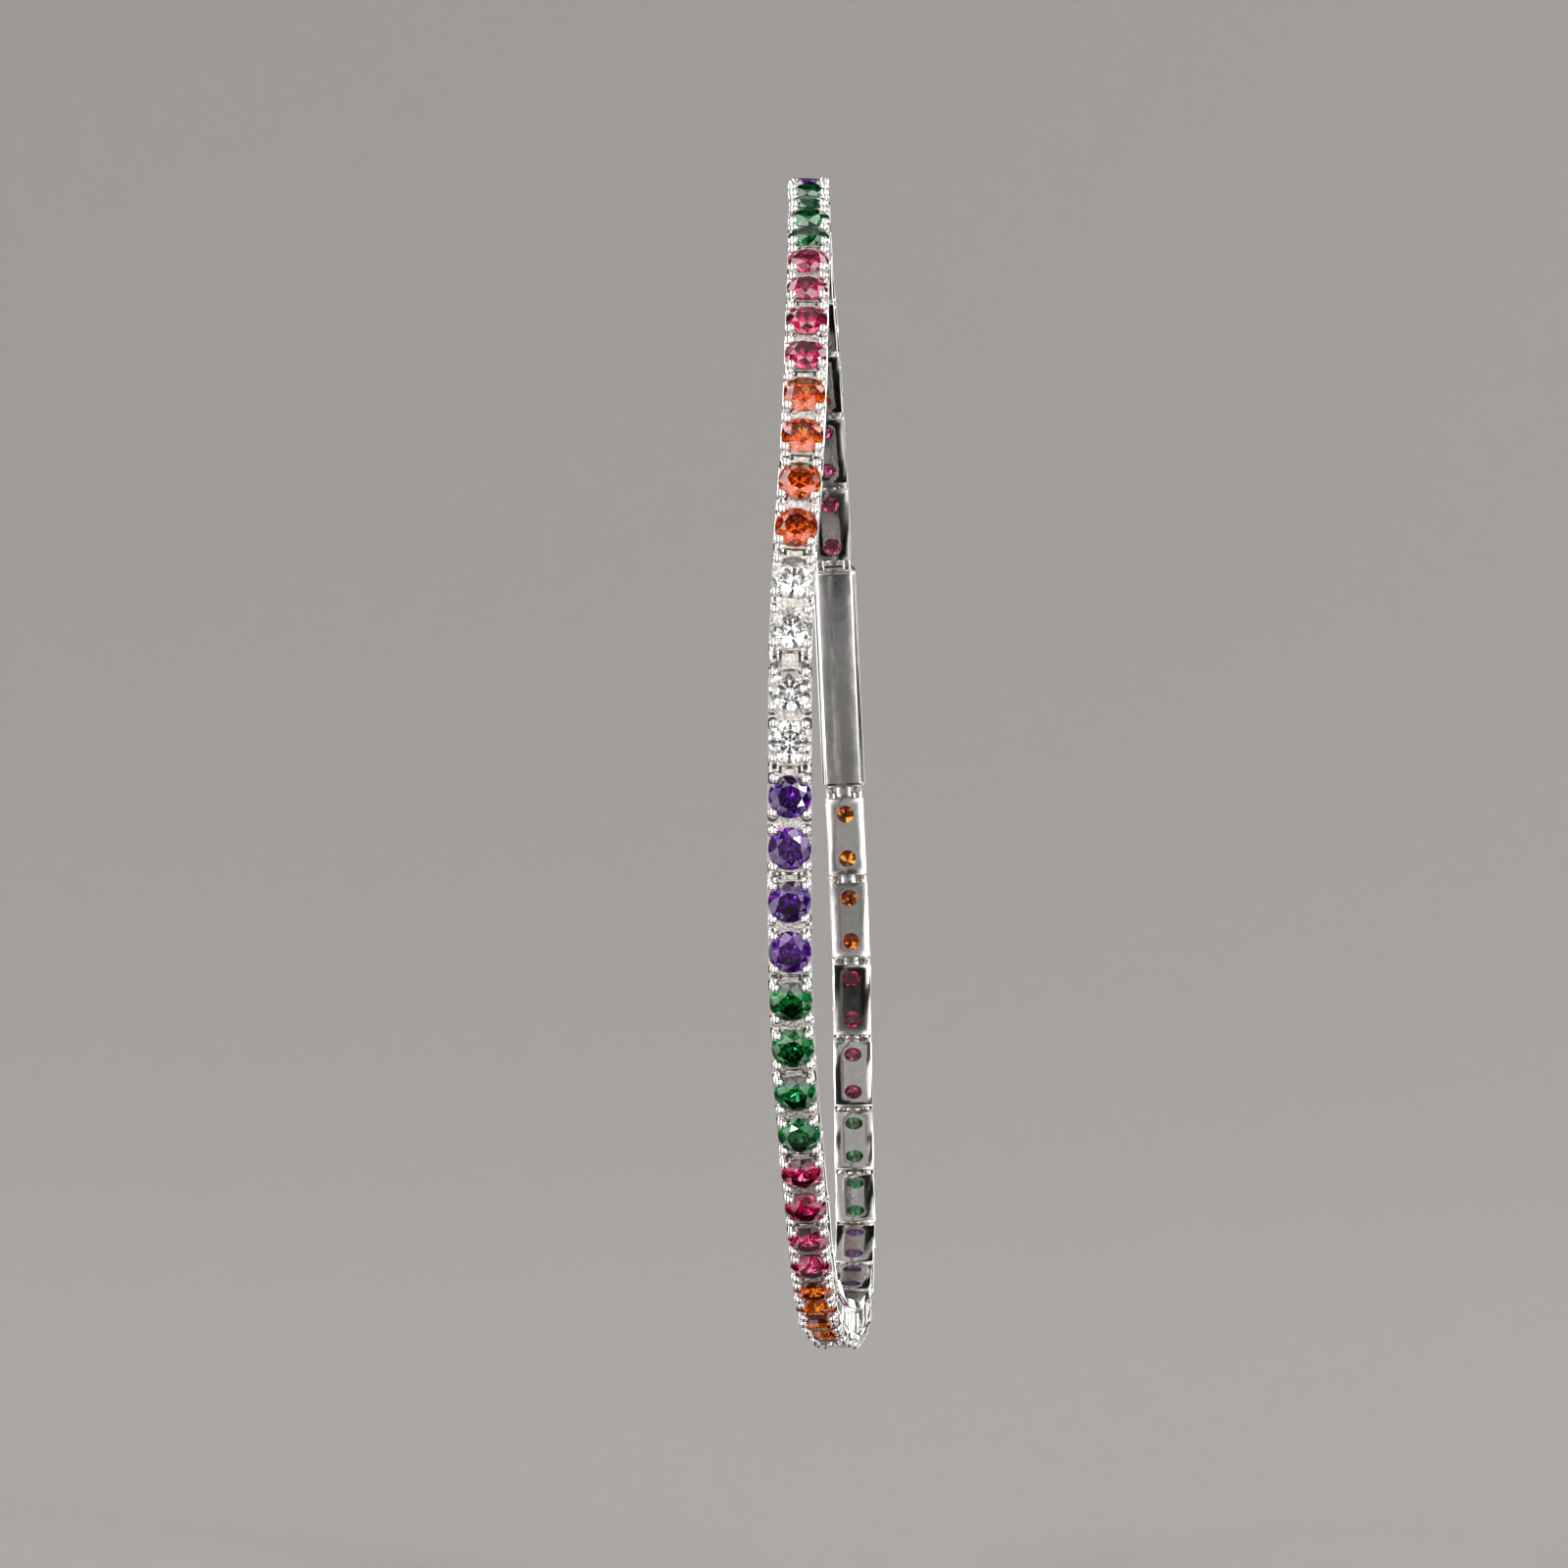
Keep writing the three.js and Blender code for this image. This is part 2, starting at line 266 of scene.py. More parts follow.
def make_stone_material(colour):
    light_tint, deep_tint, body_colour, body_depth = parcels[colour]
    material, graph, place = new_material(f"{colour} stone")
    parcel = graph.node("ShaderNodeTexNoise", {}, {
        "Vector": place, "Scale": 1 / (lean_mm * MM), "Detail": 0.0})
    lean = graph.node("ShaderNodeValToRGB", {
        "stops": [(noise_low, light_tint), (noise_high, deep_tint)]}, {"Fac": parcel})
    surface = graph.node("ShaderNodeBsdfPrincipled", {}, {
        "Base Color": lean, "Roughness": 0.0, "IOR": stone_index, "Transmission Weight": 1.0})
    body = graph.node("ShaderNodeVolumeAbsorption", {}, {
        "Color": (*body_colour, 1), "Density": body_depth})
    finish_material(graph, surface, body)
    return material


stone_materials = {colour: make_stone_material(colour) for colour in parcels}
print("stones in", ", ".join(stone_materials))

# %% [markdown]
# ## Where each link lies
#
# The plain model has already worked out how the chain closes and how it wanders along the wrist,
# so we read the places from it and don't work them out twice. Each link has a flat underside with
# four corners. Their mean is the middle of the link, the long side of the rectangle points along
# the chain, and the two together give the direction that the stones face.

# %% Read the places of the links
hollow_radius = 26.864 * MM
underside = -1.05               # in millimetres, outwards from the line of the pins


def corners_of(node):
    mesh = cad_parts[node].data
    points = np.empty(3 * len(mesh.vertices))
    mesh.vertices.foreach_get("co", points)
    return np.unique(points.reshape(-1, 3).round(7), axis=0)


def place_of(node):
    """The middle of a piece on the line of the pins, and its directions across, along, outward."""
    points = corners_of(node)
    centre = points.mean(axis=0)
    turn = math.atan2(-centre[1], centre[2] + hollow_radius)
    outward_guess = np.array([0, -math.sin(turn), math.cos(turn)])
    height = points @ outward_guess
    low = points[np.argsort(height)[:4]]
    middle = low.mean(axis=0)
    directions = np.linalg.eigh(np.cov((low - middle).T))[1]
    along = directions[:, 2]
    along *= np.sign(along @ np.array([0, math.cos(turn), math.sin(turn)]))
    across = np.array([1.0, 0, 0]) - along[0] * along
    across /= np.linalg.norm(across)
    outward = np.cross(across, along)
    return middle - underside * MM * outward, across, along, outward


places = {name: place_of(name) for name in [*link_names, "clasp"]}
steps = [np.linalg.norm(places[name][0] - places[following][0]) / MM
         for name, following in zip(link_names, link_names[1:])]
print("from link to link", round(min(steps), 2), "to", round(max(steps), 2), "mm")

# %% [markdown]
# ## Small tools for mesh work
#
# The master pieces are made once, in millimetres round the middle of a link, with X across the
# band, Y along it and Z towards the stones. Boxes with eased edges, shapes turned on a lathe and
# outlines pushed out sideways are enough for all of them.

# %% Mesh tools
merge_distance = 1e-5


def new_piece(name, points, faces):
    mesh = bpy.data.meshes.new(name)
    mesh.from_pydata([tuple(p) for p in points], [], faces)
    shape = bmesh.new()
    shape.from_mesh(mesh)
    bmesh.ops.remove_doubles(shape, verts=shape.verts, dist=merge_distance)
    bmesh.ops.recalc_face_normals(shape, faces=shape.faces)
    shape.to_mesh(mesh)
    shape.free()
    piece = bpy.data.objects.new(name, mesh)
    bpy.context.scene.collection.objects.link(piece)
    return piece


def settle(piece):
    """Turns a piece's modifiers into plain mesh."""
    depsgraph = bpy.context.evaluated_depsgraph_get()
    mesh = bpy.data.meshes.new_from_object(piece.evaluated_get(depsgraph), depsgraph=depsgraph)
    piece.modifiers.clear()
    piece.data = mesh
    return piece


def eased(piece, width, segments=3, sharper_than=40):
    """Rounds the edges of a piece that are sharper than so many degrees."""
    step = piece.modifiers.new("eased edges", "BEVEL")
    step.width, step.segments = width, segments
    step.limit_method, step.angle_limit = "ANGLE", math.radians(sharper_than)
    return settle(piece)


def worked(piece, tool, way):
    """Joins a tool's shape to a piece, or cuts it away, and removes the tool."""
    step = piece.modifiers.new(way.lower(), "BOOLEAN")
    step.operation, step.object, step.solver = way, tool, "EXACT"
    settle(piece)
    bpy.data.objects.remove(tool)
    return piece


def triangles(piece):
    return sum(len(face.vertices) - 2 for face in piece.data.polygons)


print("points closer than", merge_distance, "are one")


# %% Boxes and lathe shapes
def both(half):
    """Limits that lie evenly about the middle."""
    return -half, half


def block(name, x, y, z):
    """A box between pairs of limits."""
    points = [(i, j, k) for i in x for j in y for k in z]
    faces = [(0, 1, 3, 2), (4, 6, 7, 5), (0, 4, 5, 1), (2, 3, 7, 6), (0, 2, 6, 4), (1, 5, 7, 3)]
    return new_piece(name, points, faces)


def turned(name, profile, sides, x=0.0, y=0.0):
    """A shape turned round an upright axis, from (radius, height) rows. Radius 0 is a point."""
    points, rings = [], []
    for radius, z in profile:
        count = 1 if radius == 0 else sides
        rings.append([len(points) + i for i in range(count)])
        angles = [2 * math.pi * i / sides for i in range(count)]
        points += [(x + radius * math.cos(a), y + radius * math.sin(a), z) for a in angles]
    faces = []
    for lower, upper in zip(rings, rings[1:]):
        for i in range(sides):
            j = (i + 1) % sides
            around = [lower[i % len(lower)], lower[j % len(lower)],
                      upper[j % len(upper)], upper[i % len(upper)]]
            faces.append(tuple(dict.fromkeys(around)))
    for ring in (rings[0], rings[-1]):
        if len(ring) > 1:
            faces.append(tuple(ring))
    return new_piece(name, points, faces)


print("boxes and lathe shapes ready")

# %% [markdown]
# ## The cast setting
#
# One casting holds two stones. From the side it shows an upper rail, a shadow groove and a lower
# rail. Two seats are cut into it from above: a shallow cone that the stone's pavilion drops into,
# and a hole below that lets light and a brush in from behind. The graver also leaves a notch
# round each prong, which draws a dark line round its bead. The rails are boxes with eased edges,
# and seats and notches are lathe shapes cut away.

# %% Body of the setting
stone_radius = 1.0
stone_middles = both(1.21)
girdle_height = 0.95
half_width = 1.01
half_deck, deck_bottom, deck_top, deck_edge = 2.31, 0.55, 0.90, 0.045
half_rail, rail_top, rail_edge = 2.10, -0.59, 0.07
half_core, core_half_width, core_bottom, core_top = 1.82, 0.83, -0.80, 0.70

setting = block("setting", both(half_width), both(half_deck), (deck_bottom, deck_top))
core = block("core", both(core_half_width), both(half_core), (core_bottom, core_top))
rail = block("rail", both(half_width), both(half_rail), (underside, rail_top))
setting = worked(eased(setting, deck_edge), core, "UNION")
setting = worked(setting, eased(rail, rail_edge), "UNION")
print("rails and core", triangles(setting), "triangles")

# %% Seats and notches
past_underside, past_deck = -1.2, 1.0       # a cut goes a little further than the metal
hole_radius, hole_top = 0.46, 0.45
seat_profile = [(0.0, past_underside), (hole_radius, past_underside), (hole_radius, hole_top),
                (0.965, 0.88), (0.985, past_deck), (0.0, past_deck)]
for middle in stone_middles:
    setting = worked(setting, turned("seat", seat_profile, 32, y=middle), "DIFFERENCE")

prong_x, prong_reach = 0.80, 0.87           # from the stone's middle, across and along
prong_spots = [(side * prong_x, middle + end * prong_reach, side, end)
               for middle in stone_middles for side in (-1, 1) for end in (-1, 1)]
notch_radius, notch_floor = 0.30, 0.66
for x, y, _, _ in prong_spots:
    notch = turned("notch", [(notch_radius, notch_floor), (notch_radius, past_deck)], 20, x, y)
    setting = worked(setting, notch, "DIFFERENCE")
print("setting body", triangles(setting), "triangles")

# %% [markdown]
# ## The hinge: tongue, ears and pin
#
# At one end a tongue with an eye leaves the setting, and at the other two ears hold a pin. The
# tongue of each link stands between the ears of the next, so the chain bends one way only. Each
# half is an outline in side view, pushed out across the link, with its edges eased. The eye is
# cut with a cylinder.

# %% Outlines pushed out sideways
def side_slab(name, outline, x0, x1):
    """An outline of (along, out) points, pushed out across the link."""
    count = len(outline)
    points = [(x, y, z) for x in (x0, x1) for y, z in outline]
    faces = [tuple(range(count)), tuple(range(count, 2 * count))]
    faces += [(i, (i + 1) % count, count + (i + 1) % count, count + i) for i in range(count)]
    return new_piece(name, points, faces)


def arc(centre_y, centre_z, radius, first, last, steps):
    """Points (along, out) on an arc between two angles in degrees."""
    angles = [math.radians(first + (last - first) * i / steps) for i in range(steps + 1)]
    return [(centre_y + radius * math.cos(a), centre_z + radius * math.sin(a)) for a in angles]


hinge_radius, nose_steps = 0.45, 12


def rounded_nose(pin):
    """The round end of a tongue or an ear, about its pin."""
    return arc(pin, 0, hinge_radius, -90, 90, nose_steps)


print("a nose has", len(rounded_nose(0)), "points")

# %% Tongue, ears and pin
pin_y, pin_radius, eye_radius = 2.39, 0.20, 0.30
pin_stands_out, pin_dome = 0.005, 0.04
tongue_half, ear_inner, ear_outer = 0.38, 0.51, 0.93
tongue_top, ear_top = 0.88, 0.80
tongue_front, ear_front = 0.12, 0.07        # how far their tops go past the pin
hinge_root, hinge_edge = 1.67, 0.03


def hinge_outline(pin, front, top):
    return [(hinge_root, -hinge_radius), *rounded_nose(pin), (pin + front, top), (hinge_root, top)]


def crosswise_rod(name, radius, y, half_length, sides, dome=0.0):
    """A rod across the link. With a dome, its ends rise in two slopes."""
    profile = [(0.0, -half_length - dome), (radius * 0.7, -half_length - dome * 0.6),
               (radius, -half_length), (radius, half_length),
               (radius * 0.7, half_length + dome * 0.6), (0.0, half_length + dome)]
    rod = turned(name, profile if dome else profile[2:4], sides)
    lay_down = Matrix.Rotation(math.radians(90), 4, "Y")
    rod.data.transform(Matrix.Translation((0, y, 0)) @ lay_down)
    return rod


def tongue_with_eye(outline, pin):
    blade = eased(side_slab("tongue", outline, *both(tongue_half)), hinge_edge)
    return worked(blade, crosswise_rod("eye", eye_radius, pin, 1.0, 24), "DIFFERENCE")


def ears_with_pin(outline, pin):
    sides = [(-ear_outer, -ear_inner), (ear_inner, ear_outer)]
    ears = [eased(side_slab("ear", outline, *limits), hinge_edge) for limits in sides]
    rod = crosswise_rod("pin", pin_radius, pin, ear_outer + pin_stands_out, 16, dome=pin_dome)
    return [*ears, rod]


ear_outline = [(-y, z) for y, z in hinge_outline(pin_y, ear_front, ear_top)]
hinge = ears_with_pin(ear_outline, -pin_y)
print("ears and pin", sum(triangles(piece) for piece in hinge), "triangles")

# %% [markdown]
# ## Two masters: the common link and the long-tongued one
#
# One joint of the chain stands open, because its tongue is 0.42 mm longer. So there are two
# masters. The faces that look straight up from the deck and the tongue are marked as frosted,
# and the marks travel with the mesh as an attribute.

# %% Join, mark and smooth
def made_one(name, pieces):
    """Joins separate shells into one mesh."""
    whole = bmesh.new()
    for piece in pieces:
        whole.from_mesh(piece.data)
        bpy.data.objects.remove(piece)
    mesh = bpy.data.meshes.new(name)
    whole.to_mesh(mesh)
    whole.free()
    result = bpy.data.objects.new(name, mesh)
    bpy.context.scene.collection.objects.link(result)
    return result


def smooth_where_round(piece, degrees=32, square_enough=0.9995):
    """Shades round faces smooth, and leaves those that lie square to an axis truly flat."""
    bent = [max(abs(part) for part in face.normal) <= square_enough
            for face in piece.data.polygons]
    piece.data.polygons.foreach_set("use_smooth", bent)
    piece.data.set_sharp_from_angle(angle=math.radians(degrees))
    return piece


def marked_frosty(piece, upward=0.75, above=0.84):
    """Marks the upward faces of the deck and the tongue. The floors of seats lie lower."""
    marks = piece.data.attributes.new("frosty", "BOOLEAN", "FACE")
    frosty = [face.normal.z > upward and face.center.z > above for face in piece.data.polygons]
    marks.data.foreach_set("value", frosty)
    return piece


def in_metres(piece):
    """A master is made in millimetres, and the model is in metres."""
    piece.data.transform(Matrix.Scale(MM, 4))
    return piece


print("finishing tools ready")


# %% Masters of the setting
def link_master(name, extra):
    copies = []
    for shell in [setting, *hinge]:
        copy = shell.copy()
        copy.data = shell.data.copy()
        copies.append(copy)
    pin = pin_y + extra
    tongue = tongue_with_eye(hinge_outline(pin, tongue_front, tongue_top), pin)
    return in_metres(smooth_where_round(marked_frosty(made_one(name, [*copies, tongue]))))


common_link = link_master("common link", 0.0)
long_link = link_master("long-tongued link", 0.42)
for shell in [setting, *hinge]:
    bpy.data.objects.remove(shell)
print("link master", triangles(common_link), "triangles")

# %% [markdown]
# ## A prong
#
# A prong is a short wire that is cut, bent over the stone's edge and cupped to a bead with a
# beading tool. It is turned on the lathe, and its head is then pushed towards the stone, which
# is along its own X.

# %% Master of the prong
foot_radius, wire_radius, foot_height, bend_height = 0.175, 0.17, 0.45, 0.80
bead_radius, bead_height = 0.245, 1.06
push, push_length = 0.09, 0.25              # how far the head goes over, and on what height
prong_profile = [(0.0, foot_height), (foot_radius, foot_height), (wire_radius, bend_height)]
prong_profile += [(bead_radius * math.cos(a), bead_height + bead_radius * math.sin(a))
                  for a in np.radians([-42, -22, 0, 20, 40, 58, 75])]
prong_profile += [(0.0, bead_height + bead_radius)]
prong = turned("prong", prong_profile, 14)
for corner in prong.data.vertices:
    corner.co.x += push * max(0.0, min(1.0, (corner.co.z - bend_height) / push_length))
in_metres(smooth_where_round(prong, 60))
print("prong", triangles(prong), "triangles")

# %% [markdown]
# ## A round brilliant
#
# The cut has 57 facets: a table, 8 stars, 8 bezels and 16 upper girdle facets above, 8 mains and
# 16 lower girdle facets below. Every corner is worked out from the planes of the mains, so each
# facet is truly flat. Where the girdle facets meet the round girdle they leave its scalloped line.

# %% Planes and corners of the stone
table_radius, crown_height, girdle_thickness = 0.57, 0.30, 0.05
star_radius, lower_half_radius, pavilion_depth = 0.80, 0.24, 0.86
EIGHTH = math.radians(45)


def crown_plane(radius, off):
    """Height of a bezel facet at a point that is off its middle line by an angle."""
    return crown_height * (1 - radius * math.cos(off)) / (1 - table_radius)


def pavilion_plane(radius, off):
    return -girdle_thickness - pavilion_depth * (1 - radius * math.cos(off))


def round_point(radius, angle, z):
    return (radius * math.cos(angle), radius * math.sin(angle), z)


def ring(count, radius, z, shift=0.0):
    """Evenly spaced corners on a circle. The shift is a share of their spacing."""
    spacing = 8 * EIGHTH / count
    return [round_point(radius, (k + shift) * spacing, z) for k in range(count)]


def scallop(inner, side_point, angle):
    """Height at which a girdle facet's plane meets the round girdle half-way along the facet."""
    a, b, c = Vector(inner), Vector(side_point[0]), Vector(side_point[1])
    normal = (b - a).cross(c - a)
    x, y = math.cos(angle), math.sin(angle)
    return a.z - (normal.x * (x - a.x) + normal.y * (y - a.y)) / normal.z


total_height = crown_height - pavilion_plane(0.0, 0.0)
print("a stone is", round(total_height, 2), "times as high as its radius")


# %% Master of the stone
def brilliant():
    points, faces = [], []

    def add(*corners):
        faces.append(tuple(range(len(points), len(points) + len(corners))))
        points.extend(corners)

    table = ring(8, table_radius, crown_height)
    stars = ring(8, star_radius, crown_plane(star_radius, EIGHTH / 2), shift=0.5)
    lowers = ring(8, lower_half_radius, pavilion_plane(lower_half_radius, EIGHTH / 2), shift=0.5)
    culet = (0.0, 0.0, pavilion_plane(0.0, 0.0))
    top = ring(16, 1, 0.0)
    bottom = ring(16, 1, -girdle_thickness)
    add(*table)
    for k in range(8):
        after, before = (k + 1) % 8, (k - 1) % 8
        add(table[k], table[after], stars[k])
        add(table[k], stars[k], top[2 * k], stars[before])
        add(culet, lowers[before], bottom[2 * k], lowers[k])
        for a in (2 * k, 2 * k + 1):
            b = (a + 1) % 16
            angle = (a + 0.5) * EIGHTH / 2
            rim = round_point(1, angle, scallop(stars[k], (top[a], top[b]), angle))
            foot = round_point(1, angle, scallop(lowers[k], (bottom[a], bottom[b]), angle))
            add(stars[k], top[b], rim, top[a])
            add(lowers[k], bottom[a], foot, bottom[b])
            add(top[a], rim, foot, bottom[a])
            add(rim, top[b], bottom[b], foot)
    stone = new_piece("round brilliant", points, faces)
    stone.data.transform(Matrix.Scale(stone_radius * MM, 4))
    return stone


stone_master = brilliant()
print("brilliant", len(stone_master.data.polygons), "faces,", triangles(stone_master), "triangles")

# %% [markdown]
# ## Laying the masters out along the chain
#
# What repeats is a job for Geometry Nodes. A cloud of points says where each copy goes, and two
# vectors on each point say which way is out and which way is ahead. One small tree puts a master
# on every point, turned to those vectors, with a seeded touch of chance in its turn, lean and
# size, since no two prongs are bent quite alike. Realize Instances makes it all plain mesh again.

# %% The tree that lays out copies
def layout_tree():
    tree = bpy.data.node_groups.new("lay out copies", "GeometryNodeTree")
    for name, kind in [("Points", "Geometry"), ("Master", "Object"), ("Main Finish", "Material"),
                       ("Frosty Finish", "Material"), ("Turn", "Float"), ("Lean", "Float"),
                       ("Drift", "Float"), ("Size Change", "Float"), ("Seed", "Int")]:
        tree.interface.new_socket(name, in_out="INPUT", socket_type="NodeSocket" + kind)
    tree.interface.new_socket("Geometry", in_out="OUTPUT", socket_type="NodeSocketGeometry")
    graph = Graph(tree)
    given = graph.node("NodeGroupInput")

    def attribute(name, kind):
        return graph.node("GeometryNodeInputNamedAttribute", {"data_type": kind}, {"Name": name})

    def chance(offset, kind="FLOAT", low=-1.0, high=1.0):
        return graph.node("FunctionNodeRandomValue", {"data_type": kind}, {
            "Min": low, "Max": high, "Seed": given.out("Seed") + offset})

    facing = graph.node("FunctionNodeAxesToRotation", {
        "primary_axis": "Z", "secondary_axis": "X"}, {
        "Primary Axis": attribute("outward", "FLOAT_VECTOR"),
        "Secondary Axis": attribute("ahead", "FLOAT_VECTOR")})
    lean = given.out("Lean")
    angles = graph.node("ShaderNodeCombineXYZ", {}, {
        "X": lean * chance(1), "Y": lean * chance(2), "Z": given.out("Turn") * chance(3)})
    own_turn = graph.node("FunctionNodeEulerToRotation", {}, {"Euler": angles})
    rotation = graph.node("FunctionNodeRotateRotation", {"rotation_space": "LOCAL"}, {
        "Rotation": facing, "Rotate By": own_turn})
    shift = graph.node("ShaderNodeVectorMath", {"operation": "SCALE"}, {
        "Vector": chance(4, "FLOAT_VECTOR", (-1, -1, -1), (1, 1, 1)),
        "Scale": given.out("Drift")})
    moved = graph.node("GeometryNodeSetPosition", {}, {
        "Geometry": given.out("Points"), "Offset": shift})
    size = 1 + given.out("Size Change") * chance(5)
    master = graph.node("GeometryNodeObjectInfo", {}, {"Object": given.out("Master")})
    copies = graph.node("GeometryNodeInstanceOnPoints", {}, {
        "Points": moved, "Instance": master.out("Geometry"), "Rotation": rotation, "Scale": size})
    real = graph.node("GeometryNodeRealizeInstances", {}, {"Geometry": copies})
    main = graph.node("GeometryNodeSetMaterial", {}, {
        "Geometry": real, "Material": given.out("Main Finish")})
    dressed = graph.node("GeometryNodeSetMaterial", {}, {
        "Geometry": main, "Selection": attribute("frosty", "BOOLEAN"),
        "Material": given.out("Frosty Finish")})
    graph.node("NodeGroupOutput", {}, {"Geometry": dressed})
    return tree


layout = layout_tree()
layout_inputs = {item.name: item.identifier
                 for item in layout.interface.items_tree if item.in_out == "INPUT"}
print("layout inputs:", ", ".join(layout_inputs))

# %% [markdown]
# Two helpers run the tree: one makes the cloud of points, and the other sets the inputs and turns
# what comes out into a plain mesh. A third one gives rows for pieces that take a link's own place.

# %% Run the layout
def points_object(name, rows):
    """A cloud of points with their vectors, from (place, outward, ahead) rows."""
    mesh = bpy.data.meshes.new(name)
    mesh.from_pydata([tuple(row[0]) for row in rows], [], [])
    for index, attribute in ((1, "outward"), (2, "ahead")):
        data = mesh.attributes.new(attribute, "FLOAT_VECTOR", "POINT").data
        data.foreach_set("vector", np.array([row[index] for row in rows], float).ravel())
    cloud = bpy.data.objects.new(name, mesh)
    bpy.context.scene.collection.objects.link(cloud)
    return cloud


def lay_out(name, rows, master, finish, frosty_finish=None,
            turn=0.0, lean=0.0, drift=0.0, size_change=0.0, seed=1):
    piece = points_object(name, rows)
    step = piece.modifiers.new("layout", "NODES")
    step.node_group = layout
    values = {"Master": master, "Main Finish": finish, "Frosty Finish": frosty_finish or finish,
              "Turn": turn, "Lean": lean, "Drift": drift, "Size Change": size_change, "Seed": seed}
    for input_name, value in values.items():
        step[layout_inputs[input_name]] = value
    settle(piece)
    print(name, len(rows), "copies,", triangles(piece), "triangles")
    return piece


def facing_rows(names):
    return [(places[name][0], places[name][3], places[name][1]) for name in names]


print(len(facing_rows(link_names)), "links to dress")

# %% [markdown]
# ## Settings, prongs and stones
#
# Now the pieces themselves. All settings but one are common links. Eight prongs stand on each
# link, with their heads towards their stone. Each stone gets a turn of its own and leans by
# a degree or two, which is why neighbours of one colour never flash alike.

# %% Settings
long_tongued = link_names[15]
common_names = [name for name in link_names if name != long_tongued]
settings_piece = lay_out("link_settings", facing_rows(common_names), common_link,
                         polished_silver, frosted_silver)
long_piece = lay_out("long_tongued_setting", facing_rows([long_tongued]), long_link,
                     polished_silver, frosted_silver)


# %% Prongs
def in_link(link, x, y, z):
    """A point of a link in its own millimetres, as a place in the model."""
    middle, across, along, outward = places[link]
    return middle + (x * across + y * along + z * outward) * MM


prong_rows = []
for name in link_names:
    _, across, along, outward = places[name]
    for x, y, side, end in prong_spots:
        to_stone = -side * prong_x * across - end * prong_reach * along
        prong_rows.append((in_link(name, x, y, 0), outward, to_stone))
prongs_piece = lay_out("prongs", prong_rows, prong, polished_silver,
                       turn=0.35, lean=0.03, drift=0.03 * MM, size_change=0.03)

# %% Stones
first_seed = 11
stone_pieces = {}
for number, colour in enumerate(parcels):
    rows = [(in_link(name, 0, y, girdle_height), places[name][3], places[name][1])
            for name in link_names if name.endswith(colour) for y in stone_middles]
    stone_pieces[colour] = lay_out(
        f"stones_{colour}", rows, stone_master, stone_materials[colour],
        turn=math.pi, lean=0.045, seed=first_seed + number)

# %% [markdown]
# ## The clasp
#
# The clasp closes the bracelet under the wrist, out of sight, so it is one plain curved bar with
# the same tongue and ears as the links. Its top follows the loop. It is a side view pushed out
# across the band, with its edges well rounded.

# %% Clasp
pin_circle_radius = 28.016
clasp_half_length, clasp_half_width, clasp_rise = 6.5, 1.15, 0.80
clasp_edge, clasp_edge_segments, clasp_top_steps = 0.30, 5, 24
gap_to_nose, tab_overlap = 0.12, 0.15
clasp_end = clasp_half_length - hinge_radius - gap_to_nose
clasp_centre = -math.sqrt(pin_circle_radius ** 2 - clasp_half_length ** 2)
outer_radius = pin_circle_radius + clasp_rise
sweep = math.degrees(math.asin(clasp_end / outer_radius))
clasp_outline = [(-clasp_end, underside), (clasp_end, underside)]
clasp_outline += arc(0, clasp_centre, outer_radius, 90 - sweep, 90 + sweep, clasp_top_steps)
clasp_bar = eased(side_slab("clasp bar", clasp_outline, *both(clasp_half_width)),
                  clasp_edge, clasp_edge_segments)

tab_root = clasp_end - tab_overlap
tongue_outline = [(tab_root, -hinge_radius), *rounded_nose(clasp_half_length),
                  (tab_root, hinge_radius)]
clasp_parts = [clasp_bar, tongue_with_eye(tongue_outline, clasp_half_length),
               *ears_with_pin([(-y, z) for y, z in tongue_outline], -clasp_half_length)]
clasp_master = in_metres(smooth_where_round(made_one("clasp master", clasp_parts)))
clasp_piece = lay_out("clasp_bar", facing_rows(["clasp"]), clasp_master, polished_silver)

# %% [markdown]
# ## Handing the pieces over
#
# The masters have done their work and go. Every piece rides on the bracelet's one body and
# stands for the plain nodes that it dresses, which are hidden.

# %% Ride and replace
for master in (common_link, long_link, prong, stone_master, clasp_master):
    bpy.data.objects.remove(master)


def hand_over(piece, nodes):
    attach(piece, "root")
    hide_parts(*nodes)


hand_over(settings_piece, common_names)
hand_over(long_piece, [long_tongued])
hand_over(prongs_piece, link_names)
hand_over(clasp_piece, ["clasp"])
for colour, piece in stone_pieces.items():
    hand_over(piece, [name for name in link_names if name.endswith(colour)])
print(4 + len(stone_pieces), "pieces handed over")

# %% [markdown]
# ## Floor and backdrop
#
# A pale studio floor that curves up into a backdrop all the way round, so every view has the same
# calm ground. It is a lathe shape. Only the camera and soft bounces see it: the silver mirrors
# the lamps and the studio's light instead.

# %% Studio sweep
floor_z, flat_radius, curve_radius, wall_top = -0.070, 0.25, 0.75, 2.0
sweep_profile = [(0.0, floor_z)]
sweep_profile += [(flat_radius + curve_radius * math.sin(a),
                   floor_z + curve_radius * (1 - math.cos(a)))
                  for a in np.radians(range(0, 91, 6))]
sweep_profile += [(flat_radius + curve_radius, wall_top)]
studio = turned("studio", sweep_profile, 96)
shape = bmesh.new()
shape.from_mesh(studio.data)
lid = [face for face in shape.faces if len(face.verts) > 4]
bmesh.ops.delete(shape, geom=lid, context="FACES_ONLY")
bmesh.ops.reverse_faces(shape, faces=shape.faces)
shape.to_mesh(studio.data)
shape.free()
smooth_where_round(studio, 60)
studio.visible_glossy = studio.visible_transmission = studio.visible_shadow = False
print("floor at", floor_z, "m")

